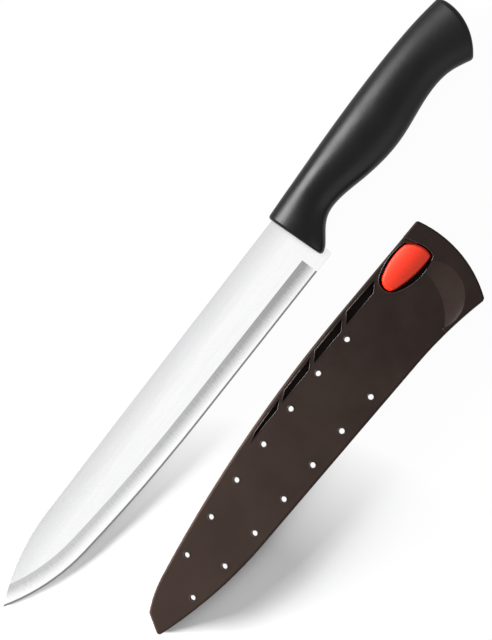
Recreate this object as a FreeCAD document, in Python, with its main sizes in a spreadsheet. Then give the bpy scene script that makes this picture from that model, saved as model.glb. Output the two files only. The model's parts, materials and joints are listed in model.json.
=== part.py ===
import FreeCAD, Part
import math
import os

import Sketcher
from FreeCAD import Placement, Rotation, Vector

doc = FreeCAD.newDocument("CarvingKnife")
sheet = doc.addObject("Spreadsheet::Sheet", "Sizes")

# Driving sizes in millimetres, angles in degrees.
# Knife frame: x runs from the handle's front to the tip, y from the spine to the cutting edge.
# Sheath frame: x runs the same way, and y from the cutting edge to the spine.
size_table = (
    ("blade_length", "200"),
    ("blade_height", "28.7"),
    ("blade_thickness", "1.8"),
    ("grind_width", "7.9"),
    ("grind_start", "4.2"),
    ("bevel_width", "0.8"),
    ("bevel_thickness", "0.5"),
    ("edge_thickness", "0.1"),
    ("heel_setback", "6.1"),
    ("heel_round", "1.4"),
    ("tang_length", "80"),
    ("tang_height", "13"),
    ("tang_thickness", "1.5"),
    ("tang_hole", "5"),
    ("handle_length", "120"),
    ("handle_height", "27"),
    ("handle_thickness", "19"),
    ("front_round", "1.5"),
    ("butt_round", "2.2"),
    ("shell_depth", "4.2"),
    ("cavity_depth", "2.2"),
    ("collar_rise", "2"),
    ("corner_round", "1.4"),
    ("rim_round", "0.9"),
    ("hole_width", "2.5"),
    ("vent_slant", "4.8"),
    ("carrier_rise", "2"),
    ("carrier_gap", "0.3"),
    ("carrier_round", "1.1"),
    ("carrier_crown", "2.2"),
    ("carrier_corner", "1.5"),
    ("carrier_slot", "2.4"),
    ("arm_thickness", "3.8"),
    ("boss_width", "4.4"),
    ("rod_width", "1.2"),
    ("rod_length", "7"),
    ("rod_reach", "4.4"),
    ("rod_spacing", "1.8"),
    ("rod_angle", "16"),
    ("pin_width", "2"),
    ("pin_length", "6.8"),
    ("pin_play", "0.05"),
    ("spring_thickness", "0.25"),
    ("spring_height", "3.2"),
    ("beside_back", "36.6"),
    ("beside_out", "85.8"),
    ("beside_turn", "2.66"),
)
for row, (alias, value) in enumerate(size_table, 1):
    sheet.set(f"A{row}", alias)
    sheet.set(f"B{row}", value)
    sheet.setAlias(f"B{row}", alias)
doc.recompute()


class Length:
    # A value together with the sheet expression that drives it.
    def __init__(self, value, text):
        self.value = value
        self.text = text

    def __add__(self, other):
        return Length(self.value + other.value, f"({self.text} + {other.text})")

    def __sub__(self, other):
        return Length(self.value - other.value, f"({self.text} - {other.text})")

    def __mul__(self, share):
        return Length(self.value * share, f"{self.text} * {share}")

    def __neg__(self):
        return Length(-self.value, f"(-1 * {self.text})")


def size(alias):
    return Length(float(sheet.get(alias)), f"Sizes.{alias}")


def along(start, finish, part, whole):
    value = start.value + (finish.value - start.value) * part.value / whole.value
    text = f"({start.text} + ({finish.text} - {start.text}) * {part.text} / ({whole.text}))"
    return Length(value, text)


def turned(length, function, angle):
    value = length.value * getattr(math, function)(math.radians(angle.value))
    return Length(value, f"{length.text} * {function}({angle.text} * 1 deg)")


zero = Length(0.0, "0")
blade_length = size("blade_length")
blade_height = size("blade_height")
blade_thickness = size("blade_thickness")
heel_setback = size("heel_setback")
handle_length = size("handle_length")
handle_height = size("handle_height")
handle_thickness = size("handle_thickness")
tang_length = size("tang_length")
tang_height = size("tang_height")
shell_depth = size("shell_depth")
cavity_depth = size("cavity_depth")
collar_rise = size("collar_rise")
rod_angle = size("rod_angle")
half_share = 0.5


def plane(body, role):
    return next(feature for feature in body.Origin.OriginFeatures if feature.Role == role)


def new_body(name):
    body = doc.addObject("PartDesign::Body", name)
    body.Label = name
    return body


def new_sketch(body, name, role="XY_Plane", lift=None):
    sketch = body.newObject("Sketcher::SketchObject", name)
    sketch.AttachmentSupport = [(plane(body, role), "")]
    sketch.MapMode = "FlatFace"
    if lift is not None:
        sketch.setExpression("AttachmentOffset.Base.z", lift.text)
    return sketch


def flat(point):
    return Vector(point[0].value, point[1].value, 0)


def hold_point(sketch, geometry, end, point):
    for kind, length in (("DistanceX", point[0]), ("DistanceY", point[1])):
        constraint = Sketcher.Constraint(kind, -1, 1, geometry, end, length.value)
        number = sketch.addConstraint(constraint)
        sketch.setExpression(f"Constraints[{number}]", length.text)


def tangent_centre(start, finish, heading):
    # The centre of the arc that leaves start along heading and passes through finish.
    side = Vector(-heading.y, heading.x, 0)
    chord = finish - start
    radius = chord.Length ** 2 / (2 * chord.dot(side))
    return start + side * radius, radius > 0


def make_arc(centre, start, finish, anticlockwise):
    # The arc, and which of its two ends are the start and the finish.
    circle = Part.Circle(centre, Vector(0, 0, 1), (start - centre).Length)
    first = circle.parameter(start)
    last = circle.parameter(finish)
    if anticlockwise:
        return Part.ArcOfCircle(circle, first, last), 1, 2
    return Part.ArcOfCircle(circle, last, first), 2, 1


def bend_centre(begin, finish, bend, heading, after):
    # Bend is "on" for an arc tangent to the step before it, "into" for one tangent to the line
    # after it, or a point that the arc passes through.
    if bend == "on":
        return tangent_centre(begin, finish, heading)
    if bend == "into":
        centre, backward = tangent_centre(finish, begin, (finish - after).normalize())
        return centre, not backward
    middle = flat(bend)
    turn = (middle - begin).cross(finish - middle).z
    return Part.Circle(begin, middle, finish).Center, turn > 0


def draw_path(sketch, start, steps, closed=True):
    # Each step is an end point and a bend, which is None for a straight line.
    points = [start] + [step[0] for step in steps]
    bends = [step[1] for step in steps]
    drawn = []
    heading = None
    for index, bend in enumerate(bends):
        begin = flat(points[index])
        finish = flat(points[index + 1])
        if bend is None:
            heading = (finish - begin).normalize()
            drawn.append((sketch.addGeometry(Part.LineSegment(begin, finish)), 1, 2))
            continue
        after = flat(points[min(index + 2, len(steps))])
        centre, anticlockwise = bend_centre(begin, finish, bend, heading, after)
        arc, first, last = make_arc(centre, begin, finish, anticlockwise)
        geometry = sketch.addGeometry(arc)
        drawn.append((geometry, first, last))
        spoke = (finish - centre).normalize()
        heading = Vector(-spoke.y, spoke.x, 0) if anticlockwise else Vector(spoke.y, -spoke.x, 0)
        if not isinstance(bend, str):
            mark = sketch.addGeometry(Part.Point(flat(bend)), True)
            sketch.addConstraint(Sketcher.Constraint("PointOnObject", mark, 1, geometry))
            hold_point(sketch, mark, 1, bend)
    for index, (geometry, first, last) in enumerate(drawn):
        hold_point(sketch, geometry, first, points[index])
        following = index + 1
        if following == len(drawn) and not closed:
            hold_point(sketch, geometry, last, points[-1])
            break
        following = following % len(drawn)
        smooth = bends[index] == "into" or bends[following] == "on"
        kind = "Tangent" if smooth else "Coincident"
        joined = Sketcher.Constraint(kind, geometry, last, drawn[following][0], drawn[following][1])
        sketch.addConstraint(joined)
    return drawn


def draw_polygon(sketch, points):
    draw_path(sketch, points[0], [(point, None) for point in points[1:] + points[:1]])


def draw_circle(sketch, centre, width):
    circle = Part.Circle(flat(centre), Vector(0, 0, 1), width.value * half_share)
    geometry = sketch.addGeometry(circle)
    hold_point(sketch, geometry, 3, centre)
    number = sketch.addConstraint(Sketcher.Constraint("Diameter", geometry, width.value))
    sketch.setExpression(f"Constraints[{number}]", width.text)


def pad(body, sketch, length, symmetric=False, downward=False):
    feature = body.newObject("PartDesign::Pad", f"{sketch.Name}_pad")
    feature.Profile = sketch
    feature.SideType = "Symmetric" if symmetric else "One side"
    feature.Reversed = downward
    feature.setExpression("Length", length.text)
    doc.recompute()
    return feature


def pocket(body, sketch, length=None, symmetric=False, upward=False):
    before = body.Tip.Shape.Volume
    feature = body.newObject("PartDesign::Pocket", f"{sketch.Name}_pocket")
    feature.Profile = sketch
    feature.SideType = "Symmetric" if symmetric else "One side"
    feature.Reversed = upward
    if length is None:
        feature.Type = "ThroughAll"
    else:
        feature.setExpression("Length", length.text)
    doc.recompute()
    if not feature.Shape.Volume < before:
        raise RuntimeError(f"{sketch.Name} cuts nothing")
    return feature


def round_edges(body, name, wanted, radius):
    base = body.Tip
    edges = [f"Edge{i}" for i, edge in enumerate(base.Shape.Edges, 1) if wanted(edge)]
    feature = body.newObject("PartDesign::Fillet", name)
    feature.Base = (base, edges)
    feature.setExpression("Radius", radius.text)
    doc.recompute()
    return feature


def upright(edge):
    first, last = edge.Vertexes[0].Point, edge.Vertexes[-1].Point
    return math.hypot(first.x - last.x, first.y - last.y) < close and abs(first.z - last.z) > close


def middle_of(edge):
    return edge.valueAt((edge.FirstParameter + edge.LastParameter) * half_share)


close_share = 0.001
close = blade_thickness.value * close_share
heel_corner = Vector(-heel_setback.value, blade_height.value, 0)

# Blade: a flat-ground plate with a curved point, an unground heel and a tang inside the handle.
spine_straight_share = 0.78
tip_drop_share = 0.35
belly_start_shares = (0.42, 0.968)
belly_end_shares = (0.8, 0.822)
tang_middle_share = 0.27
tang_end_share = 0.62
tang_hole_shares = (0.4, 0.72)
tip = (blade_length, blade_height * tip_drop_share)
belly_start = (blade_length * belly_start_shares[0], blade_height * belly_start_shares[1])
belly_end = (blade_length * belly_end_shares[0], blade_height * belly_end_shares[1])
tang_middle = handle_height * tang_middle_share


def tang_corners(front):
    deep = tang_height * half_share
    shallow = deep * tang_end_share
    return [
        (front, tang_middle - deep),
        (front, tang_middle + deep),
        (-tang_length, tang_middle + shallow),
        (-tang_length, tang_middle - shallow),
    ]


def draw_tang_holes(sketch):
    for share in tang_hole_shares:
        draw_circle(sketch, (-(tang_length * share), tang_middle), size("tang_hole"))


def make_blade():
    body = new_body("blade")
    back = -heel_setback
    outline = new_sketch(body, "blade_outline")
    draw_path(
        outline,
        (back, blade_height),
        (
            (belly_start, None),
            (belly_end, "on"),
            (tip, "on"),
            ((blade_length * spine_straight_share, zero), "into"),
            ((back, zero), None),
            ((back, blade_height), None),
        ),
    )
    pad(body, outline, blade_thickness, symmetric=True)
    round_edges(body, "heel_corner", is_heel_corner, size("heel_round"))
    tang = new_sketch(body, "tang_outline")
    draw_polygon(tang, tang_corners(zero))
    pad(body, tang, size("tang_thickness"), symmetric=True)
    anchors = new_sketch(body, "tang_anchors")
    draw_tang_holes(anchors)
    pocket(body, anchors, symmetric=True)
    grind_blade(body)
    return body


def is_heel_corner(edge):
    return upright(edge) and edge.CenterOfMass.distanceToPoint(heel_corner) < close


def grind_blade(body):
    # The grind follows the cutting edge from a straight plunge in front of the heel past the tip.
    start = size("grind_start")
    run = start + heel_setback
    edge_line = along(blade_height, belly_start[1], run, belly_start[0] + heel_setback)
    path = new_sketch(body, "grind_path")
    steps = ((belly_start, None), (belly_end, "on"), (tip, "on"))
    drawn = draw_path(path, (start, edge_line), steps, closed=False)
    run_out(path, drawn[-1], size("grind_width"))
    section = new_sketch(body, "grind_section", "YZ_Plane", start)
    face = blade_thickness * half_share
    outside = edge_line + size("bevel_width")
    draw_polygon(
        section,
        [
            (edge_line - size("grind_width"), face),
            (edge_line - size("bevel_width"), size("bevel_thickness") * half_share),
            (edge_line, size("edge_thickness") * half_share),
            (outside, size("edge_thickness") * half_share),
            (outside, blade_thickness),
            (edge_line - size("grind_width"), blade_thickness),
        ],
    )
    doc.recompute()
    grind = body.newObject("PartDesign::SubtractivePipe", "grind")
    grind.Profile = section
    grind.Spine = (path, [f"Edge{i}" for i in range(1, len(path.Shape.Edges) + 1)])
    grind.Mode = "Binormal"
    grind.Binormal = Vector(0, 0, 1)
    doc.recompute()
    both = body.newObject("PartDesign::Mirrored", "grind_both_sides")
    both.Originals = [grind]
    both.MirrorPlane = (plane(body, "XY_Plane"), [""])
    body.Tip = both
    doc.recompute()


def run_out(sketch, last_step, length):
    # A straight line that leaves the last arc of a path along its tangent.
    geometry, _, end = last_step
    arc = sketch.Geometry[geometry]
    leave = arc.EndPoint if end == 2 else arc.StartPoint
    spoke = (leave - arc.Center).normalize()
    heading = Vector(-spoke.y, spoke.x, 0) if end == 2 else Vector(spoke.y, -spoke.x, 0)
    line = sketch.addGeometry(Part.LineSegment(leave, leave + heading * length.value))
    sketch.addConstraint(Sketcher.Constraint("Tangent", geometry, end, line, 1))
    number = sketch.addConstraint(Sketcher.Constraint("Distance", line, length.value))
    sketch.setExpression(f"Constraints[{number}]", length.text)


# Handle: an oval grip moulded round the tang, drawn as ovals across its length.
# Each oval: place along the handle, back, belly, thickness, as shares of length, height, thickness.
oval_shares = (
    (0.04, -0.06, 0.97, 0.86),
    (-0.03, -0.08, 0.96, 0.86),
    (-0.07, -0.09, 0.87, 0.855),
    (-0.11, -0.099, 0.735, 0.85),
    (-0.15, -0.107, 0.648, 0.85),
    (-0.2, -0.117, 0.63, 0.86),
    (-0.32, -0.141, 0.733, 0.92),
    (-0.52, -0.167, 0.83, 1.0),
    (-0.74, -0.164, 0.742, 0.965),
    (-0.82, -0.15, 0.8, 0.96),
    (-0.89, -0.127, 0.945, 0.975),
    (-0.96, -0.09, 1.06, 1.0),
    (-1.04, -0.04, 1.1, 1.03),
)
front_shares = ((-0.006, -0.4), (-0.025, 1.3))
butt_shares = ((-0.978, -0.3), (-0.9985, 0.118), (-0.81, 1.11))
overrun_share = 0.15
third_turn = 120


def handle_point(shares):
    return (handle_length * shares[0], handle_height * shares[1])


def make_handle_form():
    ovals = []
    for number, (place, back, belly, thickness) in enumerate(oval_shares, 1):
        oval = doc.addObject("Part::Ellipse", f"handle_oval_{number}")
        middle = handle_height * ((back + belly) * half_share)
        # The long axis lies along y and the short axis along z.
        oval.Placement = Placement(Vector(0, 0, 0), Rotation(Vector(1, 1, 1), third_turn))
        oval.setExpression("MajorRadius", (handle_height * ((belly - back) * half_share)).text)
        oval.setExpression("MinorRadius", (handle_thickness * (thickness * half_share)).text)
        oval.setExpression("Placement.Base.x", (handle_length * place).text)
        oval.setExpression("Placement.Base.y", middle.text)
        ovals.append(oval)
    form = doc.addObject("Part::Loft", "handle_form")
    form.Sections = ovals
    form.Solid = True
    doc.recompute()
    return form


def make_handle():
    form = make_handle_form()
    body = new_body("handle")
    body.BaseFeature = form
    doc.recompute()
    overrun = handle_length * overrun_share
    front = new_sketch(body, "handle_front")
    back_corner, belly_corner = (handle_point(shares) for shares in front_shares)
    draw_polygon(
        front,
        [back_corner, belly_corner, (overrun, belly_corner[1]), (overrun, back_corner[1])],
    )
    pocket(body, front, symmetric=True)
    butt = new_sketch(body, "handle_butt")
    back_end, butt_middle, belly_end_point = (handle_point(shares) for shares in butt_shares)
    behind = -(handle_length + overrun)
    draw_path(
        butt,
        back_end,
        (
            (belly_end_point, butt_middle),
            ((behind, belly_end_point[1]), None),
            ((behind, back_end[1]), None),
            (back_end, None),
        ),
    )
    pocket(body, butt, symmetric=True)
    front_line = handle_length.value * front_shares[1][0]
    butt_line = handle_length.value * butt_shares[2][0]
    round_edges(body, "front_rim", lambda edge: edge.BoundBox.XMin > front_line, size("front_round"))
    round_edges(body, "butt_rim", lambda edge: edge.BoundBox.XMax < butt_line, size("butt_round"))
    tang = new_sketch(body, "tang_bed")
    draw_polygon(tang, tang_corners(zero))
    draw_tang_holes(tang)
    pocket(body, tang, size("tang_thickness"), symmetric=True)
    heel = new_sketch(body, "heel_bed")
    high = blade_height + overrun
    draw_polygon(heel, [(-heel_setback, zero), (-heel_setback, high), (overrun, high), (overrun, zero)])
    pocket(body, heel, blade_thickness, symmetric=True)
    return body


# Sheath: two moulded halves that meet on the blade's middle plane.
# Points are shares of the blade's length and height, counted from the spine towards the edge.
mouth_edge_shares = (-0.003, 1.289)
mouth_middle_shares = (-0.0135, 0.777)
mouth_spine_shares = (0.032, -0.2286)
edge_straight_shares = (0.2585, 1.268)
edge_curve_shares = (0.923, 0.7436)
end_edge_shares = (1.0, 0.535)
end_spine_shares = (1.0255, 0.2115)
spine_curve_shares = (0.7345, -0.0906)
flare_shares = (0.228, -0.0906)
cavity_shares = (
    (-0.06, 1.024),
    (0.425, 1.024),
    (0.8, 0.85),
    (0.9945, 0.4495),
    (1.01, 0.2927),
    (0.765, -0.0157),
    (-0.06, -0.0157),
)
bay_shares = ((0.003, 0.99), (0.175, 0.99), (0.175, 1.2435), (0.003, 1.2415))
chamber_shares = ((0.173, 1.056), (0.173, 1.213), (0.425, 1.164), (0.59, 1.063), (0.59, 1.028), (0.425, 1.058))
edge_hole_shares = (0.937, 0.934, 0.902, 0.868, 0.829, 0.76, 0.666)
spine_hole_shares = (0.115, 0.113, 0.113, 0.111, 0.111, 0.132, 0.188)
edge_hole_start_share = 0.285
spine_hole_start_share = 0.3455
hole_pitch_share = 0.095
vent_start_share = 0.15
vent_length_share = 0.0905
vent_pitch_share = 0.107
# Each vent: outer side at its start and end, inner side at its end and start.
vent_shares = (
    (1.2, 1.205, 1.08, 1.084),
    (1.199, 1.185, 1.073, 1.077),
    (1.178, 1.143, 1.056, 1.066),
    (1.133, 1.078, 1.028, 1.045),
)
collar_foot_shares = (0.202, 0.735)
collar_foot_width_share = 0.264
collar_top_shares = (0.1015, 0.4216)
collar_top_width_share = 0.15
face_shares = (
    (0.05, 1.5),
    (0.03, 0.985),
    (0.0725, 0.86),
    (0.0725, 0.735),
    (0.138, -0.0495),
    (0.138, -0.42),
    (1.1, -0.42),
    (1.1, 1.5),
)
face_arc_shares = (0.096, 0.2175)
# The carrier's rounded outline and its window: an end, then a point on the arc or "on" for tangent.
window_shares = (
    ((0.051, 1.223), (0.029, 0.986)),
    ((0.1015, 1.24), (0.0775, 1.245)),
    ((0.139, 1.174), "on"),
    ((0.155, 1.01), "on"),
    ((0.142, 0.843), "on"),
    ((0.0315, 0.763), "on"),
)
carrier_shares = (
    ((0.053, 1.192), (0.0325, 0.983)),
    ((0.1, 1.202), (0.0775, 1.2125)),
    ((0.135, 1.136), "on"),
    ((0.15, 0.9965), "on"),
    ((0.138, 0.871), "on"),
    ((0.0345, 0.787), "on"),
)
pivot_shares = (0.016, 1.136)
arm_shares = ((0.016, 1.066), (0.016, 1.206), (0.06, 1.19), (0.06, 1.07))
slot_floor_share = 1.052
rod_cross_share = 1.073
rod_place_share = 0.082
spring_shares = ((0.1, 1.232), (0.124, 1.18), (0.148, 1.233))
crown_reach_share = 0.3


def sheath_point(shares):
    return (blade_length * shares[0], blade_height * -shares[1])


def draw_sheath_outline(sketch):
    draw_path(
        sketch,
        sheath_point(mouth_edge_shares),
        (
            (sheath_point(edge_straight_shares), None),
            (sheath_point(edge_curve_shares), "on"),
            (sheath_point(end_edge_shares), "on"),
            (sheath_point(end_spine_shares), None),
            (sheath_point(spine_curve_shares), "into"),
            (sheath_point(flare_shares), None),
            (sheath_point(mouth_spine_shares), "on"),
            (sheath_point(mouth_edge_shares), sheath_point(mouth_middle_shares)),
        ),
    )


def draw_rounded(sketch, table):
    steps = []
    for end, bend in table:
        steps.append((sheath_point(end), bend if isinstance(bend, str) else sheath_point(bend)))
    draw_path(sketch, steps[-1][0], steps)


def near_outline(outline, heights):
    # Picks the edges that run along the outline, its rounded corners included, at given heights.
    levels = [height.value for height in heights]
    margin = size("corner_round").value * half_share

    def wanted(edge):
        places = [vertex.Point for vertex in edge.Vertexes] + [middle_of(edge)]
        if any(min(abs(place.z - level) for level in levels) > close for place in places):
            return False
        feet = [Part.Vertex(place.x, place.y, 0) for place in places]
        return all(outline.Shape.distToShape(foot)[0] < margin for foot in feet)

    return wanted


def cut_blade_space(body, upward):
    cavity = new_sketch(body, f"{body.Name}_cavity")
    points = [sheath_point(shares) for shares in cavity_shares]
    bends = (None, "on", "on", None, "into", None, None)
    draw_path(cavity, points[0], list(zip(points[1:] + points[:1], bends)))
    pocket(body, cavity, cavity_depth, upward=upward)
    bay = new_sketch(body, f"{body.Name}_bay")
    draw_polygon(bay, [sheath_point(shares) for shares in bay_shares])
    pocket(body, bay, cavity_depth, upward=upward)
    chamber = new_sketch(body, f"{body.Name}_chamber")
    draw_polygon(chamber, [sheath_point(shares) for shares in chamber_shares])
    pocket(body, chamber, cavity_depth, upward=upward)


def cut_window(body):
    window = new_sketch(body, f"{body.Name}_window")
    draw_rounded(window, window_shares)
    pocket(body, window, symmetric=True)


def cut_holes(body, upward):
    holes = new_sketch(body, f"{body.Name}_drain_holes")
    rows = ((edge_hole_start_share, edge_hole_shares), (spine_hole_start_share, spine_hole_shares))
    for start_share, heights in rows:
        for number, height_share in enumerate(heights):
            place = blade_length * (start_share + hole_pitch_share * number)
            draw_circle(holes, (place, blade_height * -height_share), size("hole_width"))
    pocket(body, holes, symmetric=True)
    bore = new_sketch(body, f"{body.Name}_pin_bore")
    draw_circle(bore, sheath_point(pivot_shares), size("pin_width"))
    pocket(body, bore, size("pin_length") * half_share + size("pin_play"), upward=upward)


def cut_vents(body):
    vents = new_sketch(body, f"{body.Name}_vents", lift=shell_depth)
    for number, heights in enumerate(vent_shares):
        start = blade_length * (vent_start_share + vent_pitch_share * number)
        end = start + blade_length * vent_length_share
        slant = size("vent_slant")
        outer_start, outer_end, inner_end, inner_start = (blade_height * -share for share in heights)
        draw_polygon(
            vents,
            [(start, outer_start), (end, outer_end), (end + slant, inner_end), (start + slant, inner_start)],
        )
    pocket(body, vents, shell_depth - cavity_depth)


def lower_face(body):
    # The mouth's collar stands proud of the rest of the face.
    face = new_sketch(body, f"{body.Name}_face", lift=shell_depth + collar_rise)
    points = [sheath_point(shares) for shares in face_shares]
    bends = (None, None, None, sheath_point(face_arc_shares), None, None, None, None)
    draw_path(face, points[0], list(zip(points[1:] + points[:1], bends)))
    pocket(body, face, collar_rise)


def cut_ramp(body):
    # A hollow ramp, widest in its middle, runs from the face up to the collar.
    top = shell_depth + collar_rise
    foot = new_sketch(body, f"{body.Name}_ramp_foot", lift=shell_depth)
    draw_circle(foot, sheath_point(collar_foot_shares), blade_length * collar_foot_width_share)
    crest = new_sketch(body, f"{body.Name}_ramp_crest", lift=top)
    draw_circle(crest, sheath_point(collar_top_shares), blade_length * collar_top_width_share)
    doc.recompute()
    ramp = body.newObject("PartDesign::SubtractiveLoft", f"{body.Name}_ramp")
    ramp.Profile = foot
    ramp.Sections = [crest]
    ramp.Ruled = True
    doc.recompute()


def is_outline_corner(edge):
    corners = (mouth_edge_shares, mouth_spine_shares, end_edge_shares, end_spine_shares)
    places = [flat(sheath_point(shares)) for shares in corners]
    foot = Vector(edge.CenterOfMass.x, edge.CenterOfMass.y, 0)
    return upright(edge) and min(foot.distanceToPoint(place) for place in places) < close


def make_front_shell():
    body = new_body("sheath_front_shell")
    outline = new_sketch(body, "front_outline")
    draw_sheath_outline(outline)
    pad(body, outline, shell_depth + collar_rise)
    round_edges(body, "front_corners", is_outline_corner, size("corner_round"))
    lower_face(body)
    rim = near_outline(outline, (shell_depth, shell_depth + collar_rise))
    round_edges(body, "front_rim_round", rim, size("rim_round"))
    cut_ramp(body)
    cut_blade_space(body, True)
    cut_holes(body, True)
    cut_window(body)
    cut_vents(body)
    return body


def make_back_shell():
    body = new_body("sheath_back_shell")
    outline = new_sketch(body, "back_outline")
    draw_sheath_outline(outline)
    pad(body, outline, shell_depth, downward=True)
    round_edges(body, "back_corners", is_outline_corner, size("corner_round"))
    round_edges(body, "back_rim_round", near_outline(outline, (-shell_depth,)), size("rim_round"))
    cut_blade_space(body, False)
    cut_holes(body, False)
    return body


# Sharpener: a domed carrier with a slot for the edge, two crossed rods, a pivot pin and a spring.
def draw_rod_end(body, name, side):
    # A circle at the rod's inner end, on a plane that leans by the rod's angle.
    sketch = body.newObject("Sketcher::SketchObject", name)
    sketch.AttachmentSupport = [(plane(body, "XZ_Plane"), "")]
    sketch.MapMode = "FlatFace"
    sketch.AttachmentOffset = Placement(Vector(0, 0, 0), Rotation(Vector(side, 0, 0), rod_angle.value))
    reach = size("rod_reach")
    place = blade_length * rod_place_share + size("rod_spacing") * (side * half_share)
    inner = blade_height * rod_cross_share - turned(reach, "cos", rod_angle)
    sketch.setExpression("AttachmentOffset.Base.x", place.text)
    sketch.setExpression("AttachmentOffset.Base.y", (turned(reach, "sin", rod_angle) * side).text)
    sketch.setExpression("AttachmentOffset.Base.z", inner.text)
    sketch.setExpression("AttachmentOffset.Rotation.Angle", rod_angle.text)
    draw_circle(sketch, (zero, zero), size("rod_width"))
    return sketch


def make_rod(name, side):
    body = new_body(name)
    pad(body, draw_rod_end(body, f"{name}_end", side), size("rod_length"))
    return body


def crown_carrier(body, top):
    reach = blade_height * crown_reach_share
    middle = -blade_height
    low = top - size("carrier_crown")
    above = top + size("carrier_rise")
    crown = new_sketch(body, "carrier_crown_arc", "YZ_Plane")
    draw_path(
        crown,
        (middle - reach, low),
        (
            ((middle + reach, low), (middle, top)),
            ((middle + reach, above), None),
            ((middle - reach, above), None),
            ((middle - reach, low), None),
        ),
    )
    pocket(body, crown, symmetric=True)
    corners = [flat(sheath_point(carrier_shares[number][0])) for number in (0, -1)]

    def is_corner(edge):
        foot = Vector(edge.CenterOfMass.x, edge.CenterOfMass.y, 0)
        return upright(edge) and min(foot.distanceToPoint(corner) for corner in corners) < close

    round_edges(body, "carrier_corners", is_corner, size("carrier_corner"))
    face = shell_depth.value
    round_edges(body, "carrier_dome", lambda edge: edge.BoundBox.ZMin > face, size("carrier_round"))


def make_carrier():
    body = new_body("carrier")
    bottom = cavity_depth - size("carrier_gap")
    top = shell_depth + size("carrier_rise")
    outline = new_sketch(body, "carrier_outline", lift=-bottom)
    draw_rounded(outline, carrier_shares)
    pad(body, outline, bottom + top)
    crown_carrier(body, top)
    slot = new_sketch(body, "carrier_slot_section", "YZ_Plane")
    floor = blade_height * -slot_floor_share
    gap = size("carrier_slot") * half_share
    draw_polygon(slot, [(floor, gap), (floor, -gap), (zero, -gap), (zero, gap)])
    pocket(body, slot, symmetric=True)
    arm = new_sketch(body, "carrier_arm")
    draw_polygon(arm, [sheath_point(shares) for shares in arm_shares])
    pad(body, arm, size("arm_thickness"), symmetric=True)
    boss = new_sketch(body, "carrier_boss")
    draw_circle(boss, sheath_point(pivot_shares), size("boss_width"))
    pad(body, boss, size("arm_thickness"), symmetric=True)
    bore = new_sketch(body, "carrier_bore")
    draw_circle(bore, sheath_point(pivot_shares), size("pin_width") + size("pin_play") + size("pin_play"))
    pocket(body, bore, symmetric=True)
    for name, side in (("front_rod_bed", 1), ("back_rod_bed", -1)):
        bed = draw_rod_end(body, name, side)
        pocket(body, bed, size("rod_length"), upward=True)
    return body


def make_pin():
    body = new_body("carrier_pivot_pin")
    circle = new_sketch(body, "pin_circle")
    draw_circle(circle, sheath_point(pivot_shares), size("pin_width"))
    pad(body, circle, size("pin_length"), symmetric=True)
    return body


def make_spring():
    # A bowed leaf whose ends bear on the sheath's edge wall and whose middle presses the carrier.
    body = new_body("carrier_leaf_spring")
    strip = new_sketch(body, "spring_strip")
    near, bow, far = (sheath_point(shares) for shares in spring_shares)
    thickness = size("spring_thickness")
    near_back, bow_back, far_back = ((x, y - thickness) for x, y in (near, bow, far))
    draw_path(strip, near, ((far, bow), (far_back, None), (near_back, bow_back), (near, None)))
    pad(body, strip, size("spring_height"), symmetric=True)
    return body


# Layout: the knife lies on its handle and tip, and the sheath lies beside its cutting edge.
level_tries = 40
steepest_lay = 10
mesh_step_share = 0.02
mesh_step = blade_thickness.value * mesh_step_share


def lowest(points, lay):
    return min(point.z * math.cos(lay) - point.x * math.sin(lay) for point in points)


def lay_angle(blade, handle):
    # The tilt at which the tip and the handle both touch the table.
    blade_points = blade.Shape.tessellate(mesh_step)[0]
    handle_points = handle.Shape.tessellate(mesh_step)[0]
    flattest, steepest = 0, math.radians(steepest_lay)
    for _ in range(level_tries):
        lay = (flattest + steepest) * half_share
        if lowest(blade_points, lay) > lowest(handle_points, lay):
            flattest = lay
        else:
            steepest = lay
    return lay, lowest(handle_points, lay)


def lay_out(knife, sheath):
    lay, drop = lay_angle(*knife)
    for body in knife:
        body.Placement = Placement(Vector(0, 0, -drop), Rotation(Vector(0, 1, 0), math.degrees(lay)))
    beside = Vector(-size("beside_back").value, size("beside_out").value, shell_depth.value)
    turn = Rotation(Vector(0, 0, -1), size("beside_turn").value)
    for body in sheath:
        body.Placement = Placement(beside, turn)
    doc.recompute()
    boxes = [body.Shape.optimalBoundingBox() for body in knife + sheath]
    middle_x = (min(box.XMin for box in boxes) + max(box.XMax for box in boxes)) * half_share
    middle_y = (min(box.YMin for box in boxes) + max(box.YMax for box in boxes)) * half_share
    centre = Placement(Vector(-middle_x, -middle_y, 0), Rotation())
    for body in knife + sheath:
        body.Placement = centre.multiply(body.Placement)
    doc.recompute()


def check_and_export(bodies):
    faulty = [item.Name for item in doc.Objects if {"Invalid", "Error"} & set(item.State)]
    faulty += [body.Label for body in bodies if body.Shape.isNull() or not body.Shape.isValid()]
    faulty += [body.Label for body in bodies if len(body.Shape.Solids) != 1]
    if faulty:
        raise RuntimeError(f"these failed to build: {faulty}")
    os.makedirs("parts", exist_ok=True)
    for body in bodies:
        body.Shape.exportStep(f"parts/{body.Label}.step")


knife = [make_blade(), make_handle()]
sheath = [
    make_front_shell(),
    make_back_shell(),
    make_carrier(),
    make_rod("hone_rod_front", 1),
    make_rod("hone_rod_back", -1),
    make_pin(),
    make_spring(),
]
lay_out(knife, sheath)
check_and_export(knife + sheath)
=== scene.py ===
import bmesh
import bpy
import json
import math
import numpy as np
from mathutils import Matrix, Vector


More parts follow.
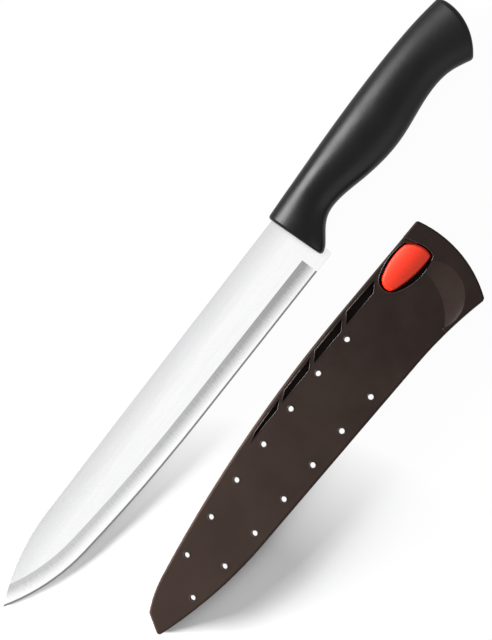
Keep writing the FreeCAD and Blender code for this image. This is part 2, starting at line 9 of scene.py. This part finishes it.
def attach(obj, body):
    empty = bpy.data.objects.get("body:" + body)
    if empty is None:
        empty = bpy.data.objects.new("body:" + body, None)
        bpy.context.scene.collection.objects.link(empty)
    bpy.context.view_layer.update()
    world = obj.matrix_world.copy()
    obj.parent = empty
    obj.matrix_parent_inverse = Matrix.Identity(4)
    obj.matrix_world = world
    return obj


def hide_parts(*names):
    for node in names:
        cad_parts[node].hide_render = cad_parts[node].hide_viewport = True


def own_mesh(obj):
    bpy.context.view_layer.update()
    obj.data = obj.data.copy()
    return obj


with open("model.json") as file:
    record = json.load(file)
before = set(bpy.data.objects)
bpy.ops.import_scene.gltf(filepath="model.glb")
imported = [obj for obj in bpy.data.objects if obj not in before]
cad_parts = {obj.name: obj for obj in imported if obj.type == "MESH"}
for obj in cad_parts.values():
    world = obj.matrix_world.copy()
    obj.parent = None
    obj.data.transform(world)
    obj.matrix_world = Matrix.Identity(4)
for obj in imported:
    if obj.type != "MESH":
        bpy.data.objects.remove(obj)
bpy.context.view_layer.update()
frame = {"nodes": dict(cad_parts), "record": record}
nodes = frame["nodes"]
mounts = {mount["name"]: mount for mount in frame["record"]["mounts"]}
joints = {joint["name"]: joint for joint in frame["record"]["behaviour"]["joints"]}
scene = bpy.context.scene
print("frame loaded:", ", ".join(sorted(nodes)))


# Shader helpers, shared by all the finishes.
def newMaterial(name):
    material = bpy.data.materials.new(name)
    material.use_nodes = True
    tree = material.node_tree
    return material, tree, tree.nodes["Principled BSDF"]


def setInput(tree, socket, value):
    if isinstance(value, bpy.types.NodeSocket):
        tree.links.new(value, socket)
    else:
        socket.default_value = value


def setInputs(tree, node, inputs):
    for key, value in inputs.items():
        setInput(tree, node.inputs[key], value)


def addNode(tree, kind, inputs=None, **settings):
    node = tree.nodes.new(kind)
    for key, value in settings.items():
        setattr(node, key, value)
    setInputs(tree, node, inputs or {})
    return node


def stretched(tree, point, stretch):
    return addNode(tree, "ShaderNodeMapping", {"Vector": point, "Scale": stretch}).outputs[0]


def objectPoint(tree, stretch=(1, 1, 1)):
    spot = addNode(tree, "ShaderNodeTexCoord").outputs["Object"]
    return stretched(tree, spot, stretch)


def mapPoint(tree, stretch=(1, 1, 1)):
    spot = addNode(tree, "ShaderNodeUVMap", uv_map=grindMapName).outputs["UV"]
    return stretched(tree, spot, stretch)


def axisOf(tree, point, axis):
    return addNode(tree, "ShaderNodeSeparateXYZ", {0: point}).outputs[axis]


noiseMost = (0.3, 0.7)     # most of a noise lies between these
noiseCore = (0.35, 0.65)   # and much of it between these


def noise(tree, point, scale, detail, rough):
    inputs = {"Vector": point, "Scale": scale, "Detail": detail, "Roughness": rough}
    return addNode(tree, "ShaderNodeTexNoise", inputs).outputs["Fac"]


def spread(tree, value, to, span=(0.0, 1.0)):
    inputs = {
        "Value": value,
        "From Min": span[0],
        "From Max": span[1],
        "To Min": to[0],
        "To Max": to[1],
    }
    return addNode(tree, "ShaderNodeMapRange", inputs).outputs["Result"]


def combine(tree, operation, first, second, clamp=False):
    inputs = {0: first, 1: second}
    return addNode(tree, "ShaderNodeMath", inputs, operation=operation, use_clamp=clamp).outputs[0]


def blendColour(tree, factor, first, second):
    mix = addNode(tree, "ShaderNodeMix", {"Factor": factor}, data_type="RGBA")
    colourA, colourB, result = mix.inputs[6], mix.inputs[7], mix.outputs[2]
    for socket, colour in ((colourA, first), (colourB, second)):
        linked = isinstance(colour, bpy.types.NodeSocket)
        setInput(tree, socket, colour if linked else (*colour, 1))
    return result


def bump(tree, height, strength, distance):
    inputs = {"Height": height, "Strength": strength, "Distance": distance}
    return addNode(tree, "ShaderNodeBump", inputs).outputs["Normal"]


# Blade: satin flats, a cross-ground bevel, a fine honed edge. Lengths in metres. A "Detail" is a
# noise's detail and roughness, and a "Bump" is a bump's strength and depth, here and below.
bladeLook = {
    "flatTint": (0.875, 0.875, 0.88),
    "flatPaintedShade": (0.645, 0.645, 0.655),
    "flatPaintedShadeSpan": (-0.0436, -0.0325),  # across, from the spine to where the painted shade ends
    "flatRough": (0.24, 0.32),
    "brushPitch": (60, 9000, 60),
    "brushDetail": (4.0, 0.6),
    "brushDepth": 0.05,
    "brushBump": (0.05, 0.00002),
    "grindLight": (0.82, 0.82, 0.82),
    "grindPaintedShadeHeel": (0.29, 0.29, 0.295),
    "grindPaintedShadeTip": (0.40, 0.40, 0.405),
    "grindLengthSpan": (0.0, 0.13),
    "grindPaintedShadeSpan": (0.0012, 0.0060),
    "grindPaintedShadeLean": (0.12, -0.24),      # added to the painted shade at the heel and at the tip
    "grindRough": (0.34, 0.48),
    "scratchPitch": (4200, 260, 1),
    "scratchDetail": (4.0, 0.65),
    "scratchDepth": 0.2,
    "scratchBump": (0.2, 0.00003),
    "edgeTint": (0.13, 0.13, 0.135),
    "edgeRough": 0.32,
    "edgeScale": 1.3,
    "edgeDetail": (2.0, 0.5),
    "spineTint": (0.55, 0.55, 0.56),
    "spineRough": 0.42,
    "spinePitch": (4000, 200, 200),
    "spineDetail": (3.0, 0.6),
    "spineBump": (0.15, 0.00002),
    "edgeHalf": 0.00008,                  # half the thickness left at the cutting edge
    "edgeDigits": 5,                      # decimals kept of a place along the edge
    "edgeNear": 0.00002,                  # edge points this near in length share a place
    "edgeSteps": 900,                     # points at which the edge is measured
}
# Which faces are which: the least share of a face's normal along the thickness.
facetLimits = {"flat": 0.9985, "grind": 0.985, "edge": 0.9}
grindMapName = "grindMap"


def makeFlatSteel():
    material, tree, shader = newMaterial("bladeFlatSteel")
    lines = noise(tree, objectPoint(tree, bladeLook["brushPitch"]), 1.0, *bladeLook["brushDetail"])
    across = axisOf(tree, objectPoint(tree), "Y")
    # Painted shade: the flat is drawn darker towards the spine, fading out across its height; the
    # brush lines are its own.
    paintedFade = spread(tree, across, (0.0, 1.0), bladeLook["flatPaintedShadeSpan"])
    depth = bladeLook["brushDepth"]
    paintedShadeAndLines = combine(tree, "ADD", paintedFade, spread(tree, lines, (-depth, depth), noiseMost), True)
    setInputs(tree, shader, {
        "Base Color": blendColour(tree, paintedShadeAndLines, bladeLook["flatPaintedShade"], bladeLook["flatTint"]),
        "Metallic": 1.0,
        "Roughness": spread(tree, lines, bladeLook["flatRough"], noiseMost),
        "Normal": bump(tree, lines, *bladeLook["brushBump"]),
    })
    return material


def makeGrindSteel():
    material, tree, shader = newMaterial("bladeGrindSteel")
    pitch = mapPoint(tree, bladeLook["scratchPitch"])
    scratch = noise(tree, pitch, 1.0, *bladeLook["scratchDetail"])
    along, away = (axisOf(tree, mapPoint(tree), axis) for axis in "XY")
    # Painted shade and reflection: the bevel is drawn lighter near the edge and darker towards its
    # inner line, most at the heel; the scratches are its own.
    paintedFade = spread(tree, away, (0.0, 1.0), bladeLook["grindPaintedShadeSpan"])
    length = spread(tree, along, (0.0, 1.0), bladeLook["grindLengthSpan"])
    lean = combine(tree, "ADD", paintedFade, spread(tree, length, bladeLook["grindPaintedShadeLean"]))
    depth = bladeLook["scratchDepth"]
    paintedShadeAndLines = combine(tree, "ADD", lean, spread(tree, scratch, (-depth, depth), noiseCore), True)
    paintedShadeTint = blendColour(tree, length, bladeLook["grindPaintedShadeHeel"], bladeLook["grindPaintedShadeTip"])
    setInputs(tree, shader, {
        "Base Color": blendColour(tree, paintedShadeAndLines, bladeLook["grindLight"], paintedShadeTint),
        "Metallic": 1.0,
        "Roughness": spread(tree, scratch, bladeLook["grindRough"], noiseCore),
        "Normal": bump(tree, scratch, *bladeLook["scratchBump"]),
    })
    return material


def makeEdgeSteel():
    material, tree, shader = newMaterial("bladeEdgeSteel")
    pitch = mapPoint(tree, bladeLook["scratchPitch"])
    lines = noise(tree, pitch, bladeLook["edgeScale"], *bladeLook["edgeDetail"])
    setInputs(tree, shader, {
        "Base Color": blendColour(tree, lines, bladeLook["edgeTint"], bladeLook["grindPaintedShadeHeel"]),
        "Metallic": 1.0,
        "Roughness": bladeLook["edgeRough"],
    })
    return material


def makeSpineSteel():
    material, tree, shader = newMaterial("bladeSpineSteel")
    lines = noise(tree, objectPoint(tree, bladeLook["spinePitch"]), 1.0, *bladeLook["spineDetail"])
    setInputs(tree, shader, {
        "Base Color": blendColour(tree, lines, bladeLook["spineTint"], bladeLook["flatPaintedShade"]),
        "Metallic": 1.0,
        "Roughness": bladeLook["spineRough"],
        "Normal": bump(tree, lines, *bladeLook["spineBump"]),
    })
    return material


def bladeAxes():
    # The blade's length, height and thickness directions, from the flat's stated normal.
    out = Vector(mounts["blade_flat"]["axis"]).normalized()
    across = Vector((0, 1, 0))
    return across.cross(out), across, out


def edgeLine(places, thickness):
    # The cutting edge as points sorted from heel to tip, in the blade's own plane.
    rows = places[np.abs(thickness) < bladeLook["edgeHalf"]]
    columns = np.unique(np.round(rows[:, 0], bladeLook["edgeDigits"]))
    near = bladeLook["edgeNear"]
    return np.array([(x, rows[np.abs(rows[:, 0] - x) < near, 1].max()) for x in columns])


def mapAlongEdge(places, line):
    # For each point: how far along the edge its foot lies, and its distance from the edge.
    run = np.concatenate(([0], np.cumsum(np.hypot(*np.diff(line, axis=0).T))))
    steps = np.linspace(0, run[-1], bladeLook["edgeSteps"])
    path = np.column_stack([np.interp(steps, run, line[:, i]) for i in (0, 1)])
    gaps = places[:, None, :] - path[None, :, :]
    away = np.hypot(gaps[..., 0], gaps[..., 1])
    foot = away.argmin(1)
    return np.column_stack((steps[foot], away[np.arange(len(places)), foot]))


def makeBlade():
    mesh = nodes["blade"].data.copy()
    mesh.name = "knifeBlade"
    blade = bpy.data.objects.new("knifeBlade", mesh)
    scene.collection.objects.link(blade)
    along, across, out = bladeAxes()
    points = np.array([vertex.co for vertex in mesh.vertices])
    local = np.column_stack([points @ np.array(axis) for axis in (along, across, out)])
    thickness = local[:, 2] - (local[:, 2].min() + local[:, 2].max()) / 2
    line = edgeLine(local[:, :2], thickness)
    placed = mapAlongEdge(local[:, :2], line)
    layer = mesh.uv_layers.new(name=grindMapName)
    for loop in mesh.loops:
        layer.data[loop.index].uv = placed[loop.vertex_index]
    mesh.materials.clear()
    for maker in (makeFlatSteel, makeGrindSteel, makeEdgeSteel, makeSpineSteel):
        mesh.materials.append(maker())
    for face in mesh.polygons:
        level = abs(face.normal.dot(out))
        ranks = [level > limit for limit in facetLimits.values()]
        face.material_index = ranks.index(True) if any(ranks) else len(ranks)
    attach(blade, "knife")
    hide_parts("blade")
    print("blade: edge line of", len(line), "points")


# Handle: smooth black moulding with a fine grain.
gripLook = {
    "tint": (0.0018, 0.0018, 0.0020),
    "tintDeep": (0.0011, 0.0011, 0.0012),
    "rough": (0.29, 0.37),
    "roughButt": 0.12,                    # added towards the butt
    "buttSpan": (-0.150, -0.075),
    "shine": 0.18,
    "grainScale": 2600.0,
    "grainDetail": (2.0, 0.5),
    "grainBump": (0.12, 0.00003),
    "cloudScale": 90.0,
    "cloudDetail": (3.0, 0.5),
}


def makeGripPlastic():
    material, tree, shader = newMaterial("gripPlastic")
    grain = noise(tree, objectPoint(tree), gripLook["grainScale"], *gripLook["grainDetail"])
    clouds = noise(tree, objectPoint(tree), gripLook["cloudScale"], *gripLook["cloudDetail"])
    along = axisOf(tree, objectPoint(tree), "X")
    rough = spread(tree, clouds, gripLook["rough"], noiseMost)
    worn = spread(tree, along, (gripLook["roughButt"], 0.0), gripLook["buttSpan"])
    setInputs(tree, shader, {
        "Base Color": blendColour(tree, clouds, gripLook["tintDeep"], gripLook["tint"]),
        "Roughness": combine(tree, "ADD", rough, worn),
        "Specular IOR Level": gripLook["shine"],
        "Normal": bump(tree, grain, *gripLook["grainBump"]),
    })
    return material


# Sheath: matte brown-black moulding, with painted light that makes it a little paler towards its
# closed end.
sheathLook = {
    "tint": (0.045, 0.0285, 0.0230),
    "tintDeep": (0.0130, 0.0072, 0.0056),
    "paintedLight": (0.1, 0.74),                  # share of the paler tint, painted light, at the mouth and past the middle
    "paintedLightSpan": (-0.05, 0.07),
    "rough": (0.46, 0.58),
    "shine": 0.09,
    "rimRough": (0.28, 0.36),
    "rimShine": 0.36,
    "grainScale": 1900.0,
    "grainDetail": (3.0, 0.6),
    "grainBump": (0.25, 0.00004),
    "cloudScale": 60.0,
    "cloudDetail": (3.0, 0.55),
    "mottle": 0.12,
}


def makeSheathPlastic(name, rough, shine):
    material, tree, shader = newMaterial(name)
    grain = noise(tree, objectPoint(tree), sheathLook["grainScale"], *sheathLook["grainDetail"])
    clouds = noise(tree, objectPoint(tree), sheathLook["cloudScale"], *sheathLook["cloudDetail"])
    along = axisOf(tree, objectPoint(tree), "X")
    # Painted light: the tint is drawn paler along the sheath towards its closed end; the mottle on top
    # is the moulding's own.
    paintedLight = spread(tree, along, sheathLook["paintedLight"], sheathLook["paintedLightSpan"])
    mottle = sheathLook["mottle"]
    paintedLightAndMottle = combine(tree, "ADD", paintedLight, spread(tree, clouds, (-mottle, mottle), noiseMost), True)
    setInputs(tree, shader, {
        "Base Color": blendColour(tree, paintedLightAndMottle, sheathLook["tintDeep"], sheathLook["tint"]),
        "Roughness": spread(tree, clouds, rough, noiseMost),
        "Specular IOR Level": shine,
        "Normal": bump(tree, grain, *sheathLook["grainBump"]),
    })
    return material


# Sharpener: satin red carrier, ceramic rods, bright pin and a blued leaf spring.
carrierLook = {
    "tint": (0.88, 0.015, 0.0006),
    "tintDeep": (0.76, 0.011, 0.0005),
    "rough": 0.5,
    "shine": 0.64,
    "shineTint": (1.0, 0.66, 0.46, 1.0),
    "grainScale": 3000.0,
    "grainDetail": (2.0, 0.5),
    "grainBump": (0.06, 0.00002),
    "cloudScale": 260.0,
    "cloudDetail": (3.0, 0.5),
}


def makeCarrierPlastic():
    material, tree, shader = newMaterial("carrierPlastic")
    clouds = noise(tree, objectPoint(tree), carrierLook["cloudScale"], *carrierLook["cloudDetail"])
    grain = noise(tree, objectPoint(tree), carrierLook["grainScale"], *carrierLook["grainDetail"])
    setInputs(tree, shader, {
        "Base Color": blendColour(tree, clouds, carrierLook["tintDeep"], carrierLook["tint"]),
        "Roughness": carrierLook["rough"],
        "Specular IOR Level": carrierLook["shine"],
        "Specular Tint": carrierLook["shineTint"],
        "Normal": bump(tree, grain, *carrierLook["grainBump"]),
    })
    return material


ceramicLook = {
    "tint": (0.84, 0.82, 0.77),
    "tintDeep": (0.70, 0.68, 0.63),
    "rough": (0.45, 0.6),
    "gritScale": 4200.0,
    "gritDetail": (3.0, 0.65),
    "gritBump": (0.3, 0.00003),
}


def makeCeramic():
    material, tree, shader = newMaterial("honingCeramic")
    grit = noise(tree, objectPoint(tree), ceramicLook["gritScale"], *ceramicLook["gritDetail"])
    setInputs(tree, shader, {
        "Base Color": blendColour(tree, grit, ceramicLook["tintDeep"], ceramicLook["tint"]),
        "Roughness": spread(tree, grit, ceramicLook["rough"]),
        "Normal": bump(tree, grit, *ceramicLook["gritBump"]),
    })
    return material


pinLook = {
    "tint": (0.62, 0.62, 0.64),
    "tintDeep": (0.5, 0.5, 0.52),
    "rough": (0.22, 0.34),
    "pitch": (3000, 3000, 120),
}
springLook = {
    "tint": (0.07, 0.075, 0.085),
    "tintDeep": (0.03, 0.032, 0.04),
    "rough": (0.38, 0.5),
    "pitch": (150, 4000, 4000),
    "pressedShare": 0.45,                 # of the bow's depth, when the carrier has swung fully
}
drawnLook = {"detail": (3.0, 0.6), "bump": (0.1, 0.00002)}   # the drawing lines of pin and spring


def makeDrawnSteel(name, look):
    material, tree, shader = newMaterial(name)
    drawn = noise(tree, objectPoint(tree, look["pitch"]), 1.0, *drawnLook["detail"])
    setInputs(tree, shader, {
        "Base Color": blendColour(tree, drawn, look["tintDeep"], look["tint"]),
        "Metallic": 1.0,
        "Roughness": spread(tree, drawn, look["rough"]),
        "Normal": bump(tree, drawn, *drawnLook["bump"]),
    })
    return material


def dressNodes(names, material):
    for name in names:
        for slot in nodes[name].material_slots:
            slot.material = material


# Rims: the window, vents and drain holes end in the small rounded lip that a mould leaves.
rimLook = {
    "radius": 0.00025,
    "sunk": 0.62,                         # share of the radius that lies inside each of the two faces
    "sides": 10,
    "weld": 1e-6,
    "level": 0.97,                        # least upward share of the face's normal
    "upright": 0.2,                       # most upward share of the wall's normal
}


def sharpRims(node):
    # The edges where an upward face ends at a wall that drops away, drawn into the corner.
    solid = bmesh.new()
    solid.from_mesh(node.data)
    bmesh.ops.remove_doubles(solid, verts=solid.verts, dist=rimLook["weld"])
    inset = rimLook["radius"] * rimLook["sunk"]
    pulls, links = {}, []
    for edge in solid.edges:
        if len(edge.link_faces) != 2:
            continue
        face, wall = sorted(edge.link_faces, key=lambda side: -side.normal.z)
        if face.normal.z < rimLook["level"] or abs(wall.normal.z) > rimLook["upright"]:
            continue
        middle = (edge.verts[0].co + edge.verts[1].co) / 2
        if (face.calc_center_median() - middle).dot(wall.normal) > 0:
            continue
        links.append([corner.index for corner in edge.verts])
        for corner in edge.verts:
            pulls.setdefault(corner.index, []).append(wall.normal.copy())
    solid.verts.ensure_lookup_table()
    order = {index: number for number, index in enumerate(pulls)}
    spots = []
    for index, walls in pulls.items():
        outward = sum(walls, Vector()).normalized() + Vector((0, 0, 1))
        spots.append(solid.verts[index].co - outward * inset)
    solid.free()
    rims = bpy.data.meshes.new("sheathRims")
    rims.from_pydata(spots, [[order[index] for index in link] for link in links], [])
    return rims


def makeRimTree():
    # Sweeps a small circle along each rim. Returns the tree and the identifiers of its inputs.
    tree = bpy.data.node_groups.new("rimLip", "GeometryNodeTree")
    sockets = tree.interface
    sockets.new_socket("Rims", in_out="INPUT", socket_type="NodeSocketGeometry")
    kinds = {"Radius": "NodeSocketFloat", "Sides": "NodeSocketInt", "Finish": "NodeSocketMaterial"}
    inputs = {
        name: sockets.new_socket(name, in_out="INPUT", socket_type=kind).identifier
        for name, kind in kinds.items()
    }
    sockets.new_socket("Lips", in_out="OUTPUT", socket_type="NodeSocketGeometry")
    given = addNode(tree, "NodeGroupInput").outputs
    path = addNode(tree, "GeometryNodeMeshToCurve", {"Mesh": given["Rims"]}).outputs["Curve"]
    ring = addNode(tree, "GeometryNodeCurvePrimitiveCircle",
                   {"Resolution": given["Sides"], "Radius": given["Radius"]}).outputs["Curve"]
    lips = addNode(tree, "GeometryNodeCurveToMesh",
                   {"Curve": path, "Profile Curve": ring}).outputs["Mesh"]
    whole = addNode(tree, "GeometryNodeRealizeInstances", {"Geometry": lips}).outputs["Geometry"]
    smooth = addNode(tree, "GeometryNodeSetShadeSmooth", {"Geometry": whole}).outputs["Geometry"]
    dressed = addNode(tree, "GeometryNodeSetMaterial",
                      {"Geometry": smooth, "Material": given["Finish"]}).outputs["Geometry"]
    addNode(tree, "NodeGroupOutput", {"Lips": dressed})
    return tree, inputs


def makeRims(material):
    rims = bpy.data.objects.new("sheathRims", sharpRims(nodes["sheath_front_shell"]))
    scene.collection.objects.link(rims)
    tree, inputs = makeRimTree()
    sweep = rims.modifiers.new("rimLip", "NODES")
    sweep.node_group = tree
    values = {"Radius": rimLook["radius"], "Sides": rimLook["sides"], "Finish": material}
    for name, value in values.items():
        sweep[inputs[name]] = value
    evaluated = rims.evaluated_get(bpy.context.evaluated_depsgraph_get())
    mesh = bpy.data.meshes.new_from_object(evaluated)
    rims.modifiers.clear()
    rims.data = mesh
    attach(rims, "sheath")
    print("sheath rims:", len(mesh.polygons), "faces")


def makeSpring():
    # The bowed leaf, copied with its own finish and carried with the sheath.
    mesh = nodes["carrier_leaf_spring"].data.copy()
    spring = bpy.data.objects.new("leafSpring", mesh)
    scene.collection.objects.link(spring)
    mesh.materials.clear()
    mesh.materials.append(makeDrawnSteel("springSteel", springLook))
    across = Vector((0, 0, 1)).cross(Vector(joints["sheath_slide"]["axis"])).normalized()
    foot = min((vertex.co for vertex in mesh.vertices), key=across.dot).copy()
    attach(spring, "sheath")
    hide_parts("carrier_leaf_spring")
    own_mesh(spring)
    print("leaf spring:", len(mesh.polygons), "faces")


makeBlade()
makeSpring()
dressNodes(["handle"], makeGripPlastic())
dressNodes(["sheath_front_shell", "sheath_back_shell"],
           makeSheathPlastic("sheathPlastic", sheathLook["rough"], sheathLook["shine"]))
makeRims(makeSheathPlastic("sheathRimPlastic", sheathLook["rimRough"], sheathLook["rimShine"]))
dressNodes(["carrier"], makeCarrierPlastic())
dressNodes(["hone_rod_front", "hone_rod_back"], makeCeramic())
dressNodes(["carrier_pivot_pin"], makeDrawnSteel("pinSteel", pinLook))
print("finishes set")

# Stage: white floor and a bright overhead sky. A low key panel beyond the knife's back throws the
# shadows, and a strip and a weak fill on either side show in the gloss only.
stageLook = {
    "floorSize": 30.0,
    "floorTint": (0.86, 0.86, 0.865),
    "floorRough": 0.9,
    "glow": 0.96,                         # share of plain white in the floor, as seen and in the gloss
    "shadowOval": {                       # where the shadows fall
        "centre": (0.103, 0.0279, 0.0),
        "halves": (0.13, 0.075, 1.0),
        "turn": 127.7,
    },
    "shadowSpan": (0.35, 1.0),            # shares of the oval over which the glow comes back
    "coverDepth": 0.012,                  # height over which the floor counts as covered
    "coverRays": 8,
    "coverSpan": (0.3, 0.15),             # open shares between which covered floor, which lies in shade, glows white as painted light
    "skyTop": 1.05,
    "skySide": 0.2,
    "skySpan": (0.58, 0.96),              # upward shares between which the sky brightens
    "skySeen": 0.97,                      # the sky's brightness, as seen and in the gloss
}
lampLook = {
    "keyPanel": {
        "power": 39.6, "size": (0.30, 0.16), "away": 0.9,
        "height": 9.5, "turn": -40.0,     # degrees above the floor, and round from the x axis
        "inGloss": False, "inDiffuse": True,
    },
    "glossStrip": {
        "power": 24.0, "size": (0.50, 0.48), "away": 0.95,
        "height": 33.0, "turn": -84.0,
        "inGloss": True, "inDiffuse": False,
    },
    "glossFill": {
        "power": 2.6, "size": (0.80, 0.80), "away": 0.95,
        "height": 30.0, "turn": 84.0,
        "inGloss": True, "inDiffuse": False,
    },
}
cameraLook = {
    "target": (-0.0010, -0.02647, 0.006),
    "away": 1.25,
    "frameHeight": 0.27296,               # length on the floor that the image's longer side shows
    "imageUp": (-0.78912, -0.61427, 0.0),
    "lean": 4.0,
    "sensor": 36.0,
}


def ovalReach(tree, oval):
    # Distance from an oval's centre, as a share of its half sizes.
    place = addNode(tree, "ShaderNodeMapping", {
        "Vector": objectPoint(tree),
        "Location": oval["centre"],
        "Rotation": (0, 0, math.radians(oval["turn"])),
        "Scale": oval["halves"],
    }, vector_type="TEXTURE").outputs[0]
    return addNode(tree, "ShaderNodeVectorMath", {0: place}, operation="LENGTH").outputs["Value"]


def plainGlow(tree, strength):
    inputs = {"Color": (1, 1, 1, 1), "Strength": strength}
    return addNode(tree, "ShaderNodeEmission", inputs).outputs[0]


def blendShader(tree, factor, first, second):
    return addNode(tree, "ShaderNodeMixShader", {0: factor, 1: first, 2: second}).outputs[0]


def seenRays(tree):
    # The rays that show the background: the camera's, and those by which gloss and glass mirror it.
    path = addNode(tree, "ShaderNodeLightPath").outputs
    mirrored = combine(tree, "MAXIMUM", path["Is Glossy Ray"], path["Is Transmission Ray"])
    return combine(tree, "MAXIMUM", path["Is Camera Ray"], mirrored)


def makeFloor():
    mesh = bpy.data.meshes.new("floor")
    half = stageLook["floorSize"] / 2
    corners = [(-half, -half, 0), (half, -half, 0), (half, half, 0), (-half, half, 0)]
    mesh.from_pydata(corners, [], [(0, 1, 2, 3)])
    floor = bpy.data.objects.new("floor", mesh)
    scene.collection.objects.link(floor)
    material, tree, shader = newMaterial("floorPaper")
    setInputs(tree, shader, {
        "Base Color": (*stageLook["floorTint"], 1),
        "Roughness": stageLook["floorRough"],
        "Specular IOR Level": 0.0,
    })
    # White all round, less so where the shadows fall, and glowing white again, as painted light, where
    # the floor lies covered in shade under a hole.
    reach = ovalReach(tree, stageLook["shadowOval"])
    lit = spread(tree, reach, (0.0, stageLook["glow"]), stageLook["shadowSpan"])
    # Painted light: floor in shade under the items, as below the drain holes, glows white.
    openShare = addNode(tree, "ShaderNodeAmbientOcclusion", {"Distance": stageLook["coverDepth"]},
                        samples=stageLook["coverRays"]).outputs["AO"]
    paintedLightInShade = spread(tree, openShare, (0.0, 1.0), stageLook["coverSpan"])
    glow = combine(tree, "MAXIMUM", lit, paintedLightInShade)
    share = combine(tree, "MULTIPLY", glow, seenRays(tree))
    whole = blendShader(tree, share, shader.outputs[0], plainGlow(tree, 1.0))
    setInputs(tree, tree.nodes["Material Output"], {"Surface": whole})
    mesh.materials.append(material)


def makeSky():
    world = bpy.data.worlds.new("studio")
    scene.world = world
    world.use_nodes = True
    tree = world.node_tree
    spot = addNode(tree, "ShaderNodeTexCoord")
    up = axisOf(tree, spot.outputs["Generated"], "Z")
    light = spread(tree, up, (stageLook["skySide"], stageLook["skyTop"]), stageLook["skySpan"])
    shares = {0: seenRays(tree), 2: light, 3: stageLook["skySeen"]}
    strength = addNode(tree, "ShaderNodeMix", shares, data_type="FLOAT").outputs[0]
    setInputs(tree, tree.nodes["Background"], {"Color": (1, 1, 1, 1), "Strength": strength})


def makeLamp(name, look):
    lamp = bpy.data.lights.new(name, "AREA")
    lamp.shape = "RECTANGLE"
    lamp.size, lamp.size_y = look["size"]
    lamp.energy = look["power"]
    panel = bpy.data.objects.new(name, lamp)
    scene.collection.objects.link(panel)
    panel.visible_glossy = look["inGloss"]
    panel.visible_diffuse = look["inDiffuse"]
    rise = math.radians(look["height"])
    turn = math.radians(look["turn"])
    level = math.cos(rise)
    outward = Vector((math.cos(turn) * level, math.sin(turn) * level, math.sin(rise)))
    facing = (-outward).to_track_quat("-Z", "Y").to_matrix().to_4x4()
    panel.matrix_world = Matrix.Translation(outward * look["away"]) @ facing


def makeCamera():
    data = bpy.data.cameras.new("camera")
    camera = bpy.data.objects.new("camera", data)
    scene.collection.objects.link(camera)
    data.sensor_width = cameraLook["sensor"]
    data.lens = cameraLook["sensor"] * cameraLook["away"] / cameraLook["frameHeight"]
    lean = math.radians(cameraLook["lean"])
    back = Vector((0, math.sin(lean), math.cos(lean)))
    up = Vector(cameraLook["imageUp"])
    up = (up - back * up.dot(back)).normalized()
    turn = Matrix((up.cross(back), up, back)).transposed().to_4x4()
    place = Vector(cameraLook["target"]) + back * cameraLook["away"]
    camera.matrix_world = Matrix.Translation(place) @ turn
    scene.camera = camera


makeFloor()
makeSky()
for lampName, look in lampLook.items():
    makeLamp(lampName, look)
makeCamera()
scene.view_settings.view_transform = "Standard"
print("stage and camera set")
